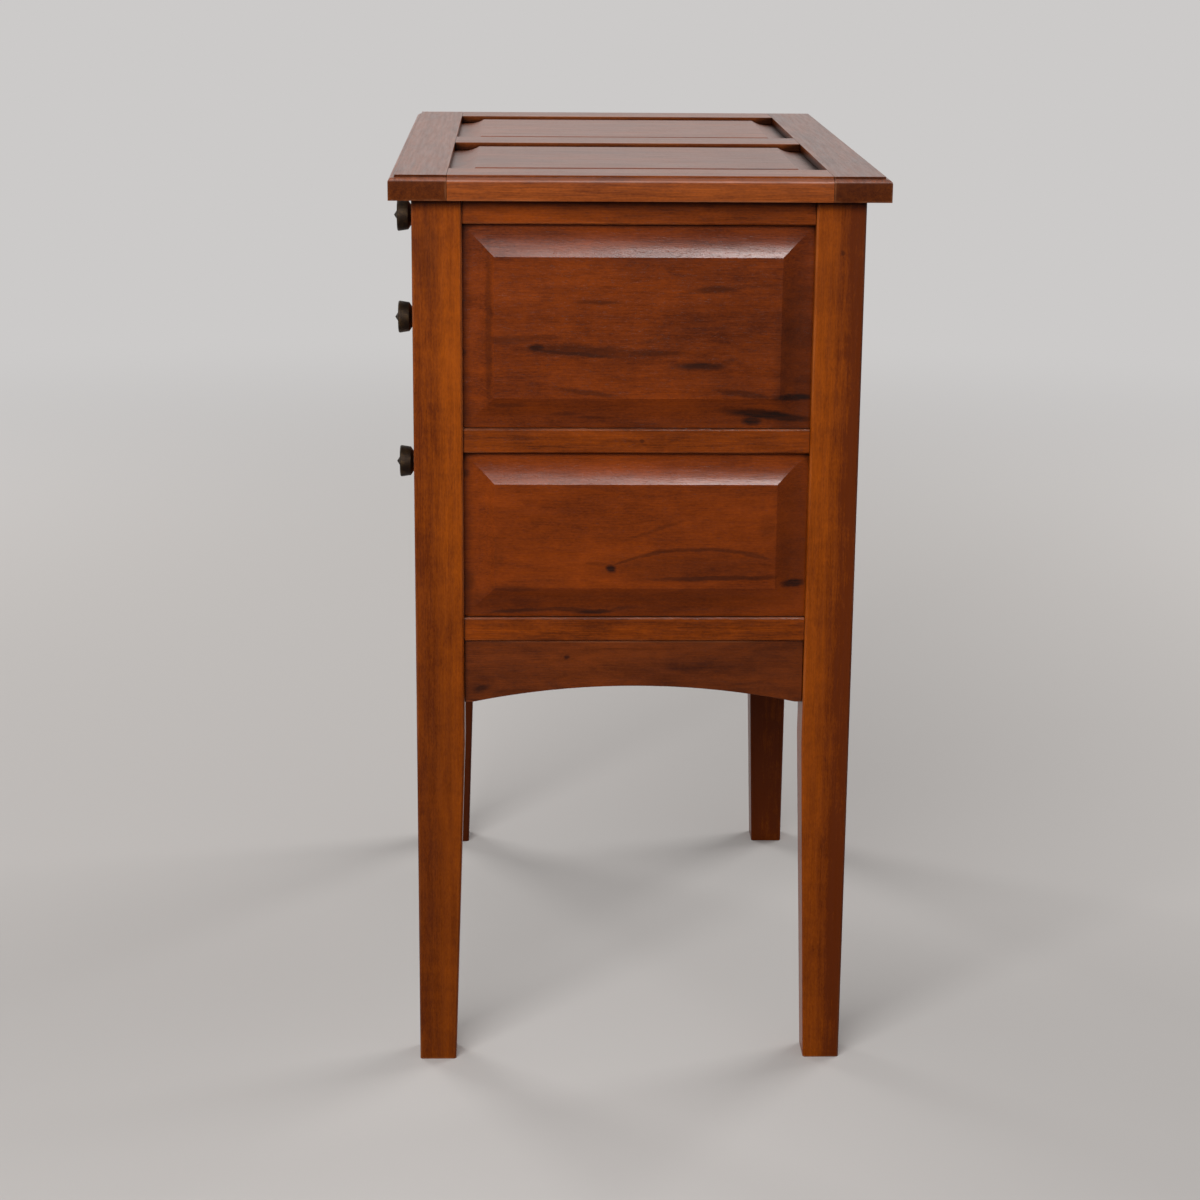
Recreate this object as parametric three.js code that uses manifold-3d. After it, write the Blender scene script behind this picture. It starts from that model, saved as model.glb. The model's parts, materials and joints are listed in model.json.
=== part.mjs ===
import * as THREE from 'three';
import { mergeVertices } from 'three/addons/utils/BufferGeometryUtils.js';
import Module from 'manifold-3d';

// A small chest of three drawers in framed and panelled wood, in millimetres.
// Z is up, the drawers face -Y, and the legs stand on Z = 0.

// Overall sizes
const height = 762;
const topWidth = 600;
const topDepth = 398;
const topThickness = 20;
const overhang = 17.5;

// Legs, which taper on their two inner faces
const legSize = 40;
const footSize = 31;
const legArris = 1.5;
const taperDrop = 37;

// Rails, and the drawer openings between them from the top down
const railHeight = 20.5;
const railThickness = 20;
const railSetback = 4;
const railArris = 1.2;
const topOpeningHeight = 55.3;
const middleOpeningHeight = 90;
const bottomOpeningHeight = 139;
const frontSetback = 1.5;

// Arched aprons under the bottom rails
const apronHeight = 53.5;
const apronThickness = 16;
const apronSetback = 6;
const archFlat = 6;
const archRise = 14;

// Mortise and tenon joints of the case
const tenonLength = 18;
const tenonThickness = 8;
const tenonShoulder = 3;
const frontTenonInset = 6;
const apronTenonLength = 12;

// Panels with a flat margin and a coved bevel round their field, held in grooves
const tongueThickness = 5;
const tongueReach = 6;
const grooveDepth = 7;
const panelMargin = 4;
const bevelDepth = 5.5;
const sideBevelWidth = 21.5;
const sideFieldInset = 0.5;
const topBevelWidth = 18;
const topFieldInset = 1.4;
const backPanelThickness = 6;
const backPanelInset = 7;

// Frame of the top
const topRailWidth = 46;
const topEndRailWidth = 54;
const topMuntinWidth = 54;
const topTenonThickness = 7;
const topTenonLength = 22;
const topTenonInset = 12;
const ovoloWidth = 5;
const ovoloDepth = 3.6;
const ovoloStep = 1.8;

// Runners, guides and kickers
const runnerWidth = 44;
const guideHeight = 12;
const runnerHousing = 6;
const runnerTenonLength = 12;
const runnerTenonInset = 5;

// Drawers
const drawerBackClearance = 7.5;
const drawerFrontThickness = 20;
const drawerFrontArris = 1;
const drawerSideThickness = 10;
const drawerBackThickness = 10;
const drawerBackDrop = 4;
const drawerBottomThickness = 5;
const drawerBottomRise = 10;
const drawerBottomReach = 5;
const drawerGap = 1.5;
const drawerFrontRise = 1;
const stopWidth = 40;
const stopDepth = 12;
const stopHeight = 6;

// Dovetails of the drawers
const tailPitch = 30;
const dovetailLap = 5;
const tailRootShare = 0.58;
const tailSlopeShare = 0.14;

// Turned knobs and their screws
const knobLength = 29;
const knobRadius = 14.5;
const knobRearRadius = 13.2;
const knobRimLength = 9.8;
const knobRimArris = 1.6;
const knobPointLength = 3;
const knobPointRadius = 4.8;
const knobNeckRadius = 5.2;
const knobBaseRadius = 8.5;
const knobBaseThickness = 1.6;
const knobConeRadius = 7;
const knobConeLength = 4.2;
const knobHeightShare = 0.52;
const screwRadius = 2;
const screwReach = 10;
const screwHeadRadius = 4.2;
const screwHeadHeight = 2.6;
const screwCrownShare = 0.8;
const screwSlotWidth = 1;
const screwSlotDepth = 1.2;

// Clearances, and how far a cut runs past the wood it cuts
const seam = 0.2;
const fit = 0.3;
const overrun = 2;

// Steps of the curves
const coveSteps = 6;
const ovoloSteps = 5;
const archSteps = 28;
const turnedSteps = 36;
const turnedCurveSteps = 5;

// The lower and upper edge of the rail that lies under another, with an opening between them
const levelUnder = ([low], opening) => [low - opening - railHeight, low - opening];

// Places that follow from the sizes above
const caseX = topWidth / 2 - overhang;
const caseY = topDepth / 2 - overhang;
const caseTop = height - topThickness;
const legInnerX = caseX - legSize;
const legInnerY = caseY - legSize;
const railFace = caseX - railSetback;
const railBack = railFace - railThickness;
const panelFace = railFace - sideFieldInset;
const tongueFace = panelFace - bevelDepth;
const tongueBack = tongueFace - tongueThickness;
const panelThickness = tongueThickness + bevelDepth;
const frontFace = -caseY + frontSetback;
const frontRailY = [frontFace, -legInnerY];
const backRailY = [caseY - railSetback - railThickness, caseY - railSetback];
const backPanelBack = caseY - railSetback - backPanelInset;
const backPanelY = [backPanelBack - backPanelThickness, backPanelBack];
const drawerHalfWidth = legInnerX - drawerGap;
const drawerLength = backRailY[0] - drawerBackClearance - frontFace;
const runnerX = [railBack - seam - runnerWidth, railBack - seam];
const runnerY = [-legInnerY + seam, legInnerY - seam];

const levels = { top: [caseTop - seam - railHeight, caseTop - seam] };
levels.upper = levelUnder(levels.top, topOpeningHeight);
levels.middle = levelUnder(levels.upper, middleOpeningHeight);
levels.bottom = levelUnder(levels.middle, bottomOpeningHeight);
const apronZ = [levels.bottom[0] - apronHeight, levels.bottom[0] - seam];
const taperTop = apronZ[0] - taperDrop;

const wasm = await Module();
wasm.setup();
const { Manifold, Mesh } = wasm;

// Directions that outlines and lofts are turned to
const axisX = new THREE.Vector3(1, 0, 0);
const axisY = new THREE.Vector3(0, 1, 0);
const axisZ = new THREE.Vector3(0, 0, 1);

// Small helpers for ranges
const about = (centre, size) => [centre - size / 2, centre + size / 2];
const grow = ([low, high], by) => [low - by, high + by];
const inset = (range, by) => grow(range, -by);

// A solid that can be joined and cut, from a closed geometry
function solidOf(geometry) {
  const bare = geometry.clone();
  bare.deleteAttribute('normal');
  bare.deleteAttribute('uv');
  const merged = mergeVertices(bare);
  return new Manifold(new Mesh({
    numProp: 3,
    vertProperties: new Float32Array(merged.attributes.position.array),
    triVerts: new Uint32Array(merged.index.array),
  }));
}

// The geometry of a solid, with flat facets
function geometryOf(solid) {
  const mesh = solid.getMesh();
  const geometry = new THREE.BufferGeometry();
  geometry.setAttribute('position', new THREE.BufferAttribute(mesh.vertProperties, 3));
  geometry.setIndex(new THREE.BufferAttribute(mesh.triVerts, 1));
  return geometry;
}

// The mirror image of a geometry across X = 0, with its faces still pointing out
function mirrored(geometry) {
  const image = geometry.clone().scale(-1, 1, 1);
  const index = image.index.array;
  for (let i = 0; i < index.length; i += 3) {
    [index[i + 1], index[i + 2]] = [index[i + 2], index[i + 1]];
  }
  return image;
}

// A board between two places on each axis
function block(x, y, z) {
  const board = new THREE.BoxGeometry(x[1] - x[0], y[1] - y[0], z[1] - z[0]);
  board.translate((x[0] + x[1]) / 2, (y[0] + y[1]) / 2, (z[0] + z[1]) / 2);
  return solidOf(board);
}

function outline(points) {
  return new THREE.Shape(points.map(([across, up]) => new THREE.Vector2(across, up)));
}

function extruded(shape, depth) {
  return new THREE.ExtrudeGeometry(shape, { depth, bevelEnabled: false, curveSegments: archSteps });
}

// An outline drawn in YZ and extruded along X
function alongX(shape, x) {
  const body = extruded(shape, x[1] - x[0]);
  body.applyMatrix4(new THREE.Matrix4().makeBasis(axisY, axisZ, axisX));
  return solidOf(body.translate(x[0], 0, 0));
}

// An outline drawn in XZ and extruded along Y
function alongY(shape, y) {
  const body = extruded(shape, y[1] - y[0]);
  body.applyMatrix4(new THREE.Matrix4().makeBasis(axisX, axisZ, axisY.clone().negate()));
  return solidOf(body.translate(0, y[1], 0));
}

// A closed body through rings of equally many points, with flat ends
function loft(rings) {
  const count = rings[0].length;
  const last = (rings.length - 1) * count;
  const index = [];
  for (let ring = 0; ring < last; ring += count) {
    for (let i = 0; i < count; i++) {
      const next = (i + 1) % count;
      index.push(ring + i, ring + next, ring + count + next);
      index.push(ring + i, ring + count + next, ring + count + i);
    }
  }
  for (let i = 1; i + 1 < count; i++) {
    index.push(0, i + 1, i);
    index.push(last, last + i, last + i + 1);
  }
  const geometry = new THREE.BufferGeometry();
  geometry.setAttribute('position', new THREE.Float32BufferAttribute(rings.flat(2), 3));
  geometry.setIndex(index);
  return geometry;
}

// A board whose four edges all follow one profile of [distance in from the edge, height]
function mouldedBoard(width, depth, profile) {
  return loft(profile.map(([edge, up]) => {
    const x = width / 2 - edge;
    const y = depth / 2 - edge;
    return [[-x, -y, up], [x, -y, up], [x, y, up], [-x, y, up]];
  }));
}

// Profile of a fielded panel: tongue, flat margin, hollow bevel and raised field
function panelProfile(bevelWidth) {
  const profile = [[0, 0], [0, tongueThickness]];
  const bevelStart = tongueReach + panelMargin;
  const sweep = 2 * Math.atan2(bevelDepth, bevelWidth);
  const radius = bevelWidth / Math.sin(sweep);
  for (let step = 0; step <= coveSteps; step++) {
    const angle = sweep * step / coveSteps;
    profile.push([bevelStart + radius * Math.sin(angle), tongueThickness + radius * (1 - Math.cos(angle))]);
  }
  return profile;
}

// Profile of the top's edge: a square edge, a quarter-round moulding and a small step
function topEdgeProfile() {
  const profile = [[0, 0]];
  const springing = topThickness - ovoloStep - ovoloDepth;
  for (let step = 0; step <= ovoloSteps; step++) {
    const angle = (Math.PI / 2) * step / ovoloSteps;
    profile.push([ovoloWidth * (1 - Math.cos(angle)), springing + ovoloDepth * Math.sin(angle)]);
  }
  profile.push([ovoloWidth, topThickness]);
  return profile;
}

// Finishes: colour, roughness and metalness
const finishes = {
  leg: [0x8a4520, 0.38, 0],
  rail: [0x7e3e1c, 0.38, 0],
  panel: [0x6e361a, 0.34, 0],
  top: [0x7a3d20, 0.3, 0],
  inside: [0xa9794c, 0.7, 0],
  knob: [0x4a3a22, 0.42, 0.9],
  screw: [0x6a6258, 0.4, 0.9],
};

// A named piece whose own origin lies at the given place
function piece(name, geometry, finish, place) {
  const [color, roughness, metalness] = finishes[finish];
  const mesh = new THREE.Mesh(
    geometry.clone().translate(-place[0], -place[1], -place[2]),
    new THREE.MeshStandardMaterial({ color, roughness, metalness, flatShading: true }),
  );
  mesh.name = name;
  mesh.position.set(...place);
  return mesh;
}

// The right-hand piece and its mirror image on the left
function pair(name, geometry, finish, place) {
  return [
    piece(`${name}_right`, geometry, finish, place),
    piece(`${name}_left`, mirrored(geometry), finish, [-place[0], place[1], place[2]]),
  ];
}

// Tenon ranges, which the mortises repeat with a clearance
const sideTenonX = about((tongueFace + tongueBack) / 2, tenonThickness);
const frontTenonY = inset(frontRailY, frontTenonInset);
const backTenonY = about((backPanelY[0] + backPanelY[1]) / 2, tenonThickness);
const sideApronX = [caseX - apronSetback - apronThickness, caseX - apronSetback];
const frontApronY = [-caseY + apronSetback, -caseY + apronSetback + apronThickness];
const sideApronTenonX = about((sideApronX[0] + sideApronX[1]) / 2, tenonThickness);
const frontApronTenonY = about((frontApronY[0] + frontApronY[1]) / 2, tenonThickness);
const apronTenonZ = inset(apronZ, tenonShoulder);
const runnerTenonX = inset([runnerX[0], legInnerX], runnerTenonInset);
const backRailLevels = [levels.top, levels.bottom];
const sideRailLevels = [levels.top, levels.middle, levels.bottom];
const runnerLevels = [levels.upper, levels.middle, levels.bottom];

// Cross-section of a leg at one height, with its outer corner kept in place
function legRing(size, up, side) {
  const x = [caseX - size, caseX];
  const y = side > 0 ? [caseY - size, caseY] : [-caseY, size - caseY];
  const a = legArris;
  return [
    [x[0] + a, y[0], up], [x[1] - a, y[0], up], [x[1], y[0] + a, up], [x[1], y[1] - a, up],
    [x[1] - a, y[1], up], [x[0] + a, y[1], up], [x[0], y[1] - a, up], [x[0], y[0] + a, up],
  ];
}

// A right-hand leg, at the front with side -1 and at the back with side 1
function leg(side) {
  let post = solidOf(loft([
    legRing(footSize, 0, side),
    legRing(legSize, taperTop, side),
    legRing(legSize, caseTop - seam, side),
  ]));
  const intoY = (depth) => {
    const y = [legInnerY - overrun, legInnerY + depth];
    return side > 0 ? y : [-y[1], -y[0]];
  };
  const intoX = (depth) => [legInnerX - overrun, legInnerX + depth];
  const grooveZ = grow([levels.bottom[1], levels.top[0]], grooveDepth);
  const cut = (x, y, z) => {
    post = post.subtract(block(x, y, z));
  };
  for (const level of sideRailLevels) {
    cut(grow(sideTenonX, fit), intoY(tenonLength + fit), grow(inset(level, tenonShoulder), fit));
  }
  cut(grow(sideApronTenonX, fit), intoY(apronTenonLength + fit), grow(apronTenonZ, fit));
  cut(grow([tongueBack, tongueFace], fit), intoY(grooveDepth), grooveZ);
  if (side < 0) {
    for (const level of Object.values(levels)) {
      cut(intoX(tenonLength + fit), grow(frontTenonY, fit), grow(inset(level, tenonShoulder), fit));
    }
    cut(intoX(apronTenonLength + fit), grow(frontApronTenonY, fit), grow(apronTenonZ, fit));
  } else {
    for (const level of backRailLevels) {
      cut(intoX(tenonLength + fit), grow(backTenonY, fit), grow(inset(level, tenonShoulder), fit));
    }
    for (const level of [...runnerLevels, levels.top]) {
      cut([legInnerX - overrun, railBack + fit], intoY(runnerHousing + fit), grow(level, fit));
    }
    cut(intoX(grooveDepth), grow(backPanelY, fit), grooveZ);
  }
  return geometryOf(post);
}

// A side rail with tenons, eased outer edges and a groove wherever a panel meets it
function sideRail(level, grooveAbove, grooveBelow) {
  const a = railArris;
  const section = outline([
    [railBack, level[0]], [railFace - a, level[0]], [railFace, level[0] + a],
    [railFace, level[1] - a], [railFace - a, level[1]], [railBack, level[1]],
  ]);
  let rail = alongY(section, inset([-legInnerY, legInnerY], seam));
  rail = rail.add(block(sideTenonX, grow([-legInnerY, legInnerY], tenonLength), inset(level, tenonShoulder)));
  const grooveX = grow([tongueBack, tongueFace], fit);
  const grooveY = inset([-legInnerY, legInnerY], -overrun - tenonLength);
  if (grooveAbove) {
    rail = rail.subtract(block(grooveX, grooveY, [level[1] - grooveDepth, level[1] + overrun]));
  }
  if (grooveBelow) {
    rail = rail.subtract(block(grooveX, grooveY, [level[0] - overrun, level[0] + grooveDepth]));
  }
  return geometryOf(rail);
}

// Outline of an apron over a span, with an arch that springs from a short flat at each leg
function apronOutline(half) {
  const chord = half - archFlat;
  const radius = (chord * chord + archRise * archRise) / (2 * archRise);
  const reach = Math.asin(chord / radius);
  const centre = apronZ[0] + archRise - radius;
  const shape = new THREE.Shape();
  shape.moveTo(-half, apronZ[1]);
  shape.lineTo(-half, apronZ[0]);
  shape.absarc(0, centre, radius, Math.PI / 2 + reach, Math.PI / 2 - reach, true);
  shape.lineTo(half, apronZ[0]);
  shape.lineTo(half, apronZ[1]);
  return shape;
}

function sideApron() {
  const apron = alongX(apronOutline(legInnerY - seam), sideApronX);
  const ends = [legInnerY - seam - archFlat, legInnerY + apronTenonLength];
  return geometryOf(apron
    .add(block(sideApronTenonX, ends, apronTenonZ))
    .add(block(sideApronTenonX, [-ends[1], -ends[0]], apronTenonZ)));
}

function frontApron() {
  const apron = alongY(apronOutline(legInnerX - seam), frontApronY);
  const ends = [legInnerX - seam - archFlat, legInnerX + apronTenonLength];
  return geometryOf(apron
    .add(block(ends, frontApronTenonY, apronTenonZ))
    .add(block([-ends[1], -ends[0]], frontApronTenonY, apronTenonZ)));
}

// A fielded side panel between two rails, turned to face +X, that rests in the lower rail's groove
function sidePanel(lowRail, highRail) {
  const opening = [lowRail[1], highRail[0]];
  const board = mouldedBoard(
    2 * (legInnerY + tongueReach),
    opening[1] - opening[0] + 2 * tongueReach,
    panelProfile(sideBevelWidth),
  );
  const drop = grooveDepth - tongueReach - fit;
  board.applyMatrix4(new THREE.Matrix4().makeBasis(axisY, axisZ, axisX));
  return board.translate(tongueBack, 0, (opening[0] + opening[1]) / 2 - drop);
}

// A front rail laid flat, tenoned into the legs, with mortises for the runners behind it
function frontRail(level, withStop) {
  const a = railArris;
  const section = outline([
    [frontRailY[0] + a, level[0]], [frontRailY[1], level[0]], [frontRailY[1], level[1]],
    [frontRailY[0] + a, level[1]], [frontRailY[0], level[1] - a], [frontRailY[0], level[0] + a],
  ]);
  let rail = alongX(section, inset([-legInnerX, legInnerX], seam));
  const tenonX = grow([-legInnerX, legInnerX], tenonLength);
  rail = rail.add(block(tenonX, frontTenonY, inset(level, tenonShoulder)));
  if (withStop) {
    const stopFront = frontFace + drawerFrontThickness + fit;
    const stopY = [stopFront, stopFront + stopDepth];
    rail = rail.add(block(about(0, stopWidth), stopY, [level[1] - overrun, level[1] + stopHeight]));
  }
  const mortiseY = [-legInnerY - runnerTenonLength - fit, overrun - legInnerY];
  for (const x of [runnerTenonX, [-runnerTenonX[1], -runnerTenonX[0]]]) {
    rail = rail.subtract(block(grow(x, fit), mortiseY, grow(inset(level, runnerTenonInset), fit)));
  }
  return geometryOf(rail);
}

// A runner with a guide on its outer edge, or a kicker without one
function runner(level, withGuide) {
  const section = [[runnerX[0], level[0]], [runnerX[1], level[0]]];
  if (withGuide) {
    const guideTop = level[1] + guideHeight;
    section.push([runnerX[1], guideTop], [legInnerX, guideTop], [legInnerX, level[1]]);
  } else {
    section.push([runnerX[1], level[1]]);
  }
  section.push([runnerX[0], level[1]]);
  const bar = alongY(outline(section), runnerY);
  const tenonY = [-legInnerY - runnerTenonLength, overrun - legInnerY];
  const housedY = [legInnerY - overrun, legInnerY + runnerHousing];
  return geometryOf(bar
    .add(block(runnerTenonX, tenonY, inset(level, runnerTenonInset)))
    .add(block([legInnerX + fit, runnerX[1]], housedY, level)));
}

// A back rail with tenons and a groove on the edge that faces the back panel
function backRail(level, grooveAbove) {
  let rail = block(inset([-legInnerX, legInnerX], seam), backRailY, level);
  rail = rail.add(block(grow([-legInnerX, legInnerX], tenonLength), backTenonY, inset(level, tenonShoulder)));
  const above = [level[1] - grooveDepth, level[1] + overrun];
  const below = [level[0] - overrun, level[0] + grooveDepth];
  const grooveX = grow([-legInnerX, legInnerX], tenonLength + overrun);
  return geometryOf(rail.subtract(block(grooveX, grow(backPanelY, fit), grooveAbove ? above : below)));
}

function backPanel() {
  return geometryOf(block(
    grow([-legInnerX, legInnerX], tongueReach),
    backPanelY,
    grow([levels.bottom[1], levels.top[0]], tongueReach),
  ));
}

function buildCase() {
  const group = new THREE.Group();
  group.add(...pair('leg_front', leg(-1), 'leg', [caseX - legSize / 2, -caseY + legSize / 2, 0]));
  group.add(...pair('leg_back', leg(1), 'leg', [caseX - legSize / 2, caseY - legSize / 2, 0]));

  for (const name of ['top', 'middle', 'bottom']) {
    const rail = sideRail(levels[name], name !== 'top', name !== 'bottom');
    group.add(...pair(`side_rail_${name}`, rail, 'rail', [railFace, 0, levels[name][0]]));
  }
  group.add(...pair('side_apron', sideApron(), 'rail', [sideApronX[1], 0, apronZ[1]]));
  const upperPanel = sidePanel(levels.middle, levels.top);
  group.add(...pair('side_panel_upper', upperPanel, 'panel', [panelFace, 0, levels.middle[1]]));
  const lowerPanel = sidePanel(levels.bottom, levels.middle);
  group.add(...pair('side_panel_lower', lowerPanel, 'panel', [panelFace, 0, levels.bottom[1]]));

  for (const [name, level] of Object.entries(levels)) {
    const rail = frontRail(level, name !== 'top');
    group.add(piece(`front_rail_${name}`, rail, 'rail', [0, frontFace, level[0]]));
  }
  group.add(piece('front_apron', frontApron(), 'rail', [0, frontApronY[0], apronZ[1]]));

  for (const name of ['upper', 'middle', 'bottom']) {
    const level = levels[name];
    group.add(...pair(`drawer_runner_${name}`, runner(level, true), 'inside', [runnerX[0], 0, level[0]]));
  }
  group.add(...pair('kicker', runner(levels.top, false), 'inside', [runnerX[0], 0, levels.top[0]]));

  for (const name of ['top', 'bottom']) {
    const rail = backRail(levels[name], name === 'bottom');
    group.add(piece(`back_rail_${name}`, rail, 'rail', [0, backRailY[1], levels[name][0]]));
  }
  group.add(piece('back_panel', backPanel(), 'panel', [0, backPanelBack, levels.bottom[1]]));
  return group;
}

// The top: one moulded outline parted into its frame, with two fielded panels floating in it
function buildTop() {
  const group = new THREE.Group();
  group.position.z = caseTop;
  const across = topDepth / 2 - topRailWidth;
  const endX = [topWidth / 2 - topEndRailWidth, topWidth / 2];
  const muntinX = about(0, topMuntinWidth);
  const openingX = [muntinX[1], endX[0]];
  const fieldTop = topThickness - topFieldInset;
  const tongueZ = [fieldTop - panelThickness, fieldTop - bevelDepth];
  const tenonZ = about((tongueZ[0] + tongueZ[1]) / 2, topTenonThickness);
  const through = grow([0, topThickness], overrun);
  const tenonY = grow([-across, across], topTenonLength);

  const slab = solidOf(mouldedBoard(topWidth, topDepth, topEdgeProfile()));
  const openingCentre = (openingX[0] + openingX[1]) / 2;
  const boardWidth = openingX[1] - openingX[0] + 2 * tongueReach;
  const grooveX = grow(openingX, grooveDepth);
  const grooves = [grooveX, [-grooveX[1], -grooveX[0]]]
    .map((x) => block(x, grow([-across, across], grooveDepth), grow(tongueZ, fit)));
  const grooved = (solid) => grooves.reduce((wood, groove) => wood.subtract(groove), solid);

  // Members that run from the front rail to the back rail, as ranges in X
  const endTenonX = inset(endX, topTenonInset);
  const muntinTenonX = inset(muntinX, topTenonInset);
  const mortises = [endTenonX, muntinTenonX, [-endTenonX[1], -endTenonX[0]]]
    .map((x) => block(grow(x, fit), grow(tenonY, fit), grow(tenonZ, fit)));
  const crossMember = (x, tenonX) => geometryOf(grooved(
    slab.intersect(block(x, inset([-across, across], seam), through)).add(block(tenonX, tenonY, tenonZ)),
  ));
  const longRail = (y) => geometryOf(mortises.reduce(
    (wood, mortise) => wood.subtract(mortise),
    grooved(slab.intersect(block(grow([-topWidth / 2, topWidth / 2], overrun), y, through))),
  ));

  group.add(piece('top_rail_front', longRail([-topDepth / 2 - overrun, -across]), 'top', [0, -across, 0]));
  group.add(piece('top_rail_back', longRail([across, topDepth / 2 + overrun]), 'top', [0, across, 0]));
  const endRail = crossMember([endX[0], endX[1] + overrun], endTenonX);
  group.add(...pair('top_rail_end', endRail, 'top', [endX[0], 0, 0]));
  group.add(piece('top_muntin', crossMember(muntinX, muntinTenonX), 'top', [0, 0, 0]));

  const board = mouldedBoard(boardWidth, 2 * (across + tongueReach), panelProfile(topBevelWidth));
  board.translate(openingCentre, 0, tongueZ[0]);
  group.add(...pair('top_panel', board, 'top', [openingCentre, 0, tongueZ[0]]));
  return group;
}

// Outlines of the tails between two heights, from their root to their tip along Y
function tailOutlines(root, tip, z, by) {
  const count = Math.max(1, Math.round((z[1] - z[0]) / tailPitch));
  const pitch = (z[1] - z[0]) / count;
  const outward = Math.sign(tip - root);
  const flare = Math.abs(tip - root) * tailSlopeShare;
  return Array.from({ length: count }, (unused, i) => {
    const centre = z[0] + pitch * (i + 1 / 2);
    const half = pitch * tailRootShare / 2 + by;
    const tipHalf = half + flare;
    const behind = root - outward * overrun;
    const end = tip + outward * by;
    return outline([
      [behind, centre - half], [root, centre - half], [end, centre - tipHalf],
      [end, centre + tipHalf], [root, centre + half], [behind, centre + half],
    ]);
  });
}

// The knob's profile as radius and distance from the drawer front, with a blind hole for its screw
function knobProfile() {
  const rimFront = knobLength - knobPointLength;
  const rimRear = rimFront - knobRimLength;
  const neckFront = rimRear - knobConeLength;
  const neckMiddle = (knobBaseThickness + neckFront) / 2;
  const path = new THREE.Path();
  path.moveTo(0, screwReach + seam);
  path.lineTo(screwRadius + fit, screwReach + seam);
  path.lineTo(screwRadius + fit, seam);
  path.lineTo(knobBaseRadius, seam);
  path.lineTo(knobBaseRadius, knobBaseThickness);
  path.quadraticCurveTo(knobNeckRadius, knobBaseThickness, knobNeckRadius, neckMiddle);
  path.quadraticCurveTo(knobNeckRadius, neckFront, knobConeRadius, neckFront);
  path.lineTo(knobRearRadius, rimRear);
  path.lineTo(knobRadius, rimFront - knobRimArris);
  path.quadraticCurveTo(knobRadius, rimFront, knobRadius - knobRimArris, rimFront);
  path.lineTo(knobPointRadius, rimFront);
  path.quadraticCurveTo(knobPointRadius / 2, rimFront + knobPointLength / 2, 0, knobLength);
  return path.getPoints(turnedCurveSteps);
}

// A profile turned about an axis that points out of the drawer front
function turned(profile) {
  const body = new THREE.LatheGeometry(profile, turnedSteps);
  body.applyMatrix4(new THREE.Matrix4().makeBasis(axisX, axisY.clone().negate(), axisZ.clone().negate()));
  return solidOf(body);
}

function screw() {
  const head = drawerFrontThickness + seam;
  const profile = [
    [0, -head - screwHeadHeight], [screwHeadRadius * screwCrownShare, -head - screwHeadHeight],
    [screwHeadRadius, -head],
    [screwRadius, -head], [screwRadius, screwReach - fit], [0, screwReach - fit],
  ].map(([radius, out]) => new THREE.Vector2(radius, out));
  const slot = block(
    grow([-screwHeadRadius, screwHeadRadius], overrun),
    [head + screwHeadHeight - screwSlotDepth, head + screwHeadHeight + overrun],
    about(0, screwSlotWidth),
  );
  return turned(profile).subtract(slot);
}

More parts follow.
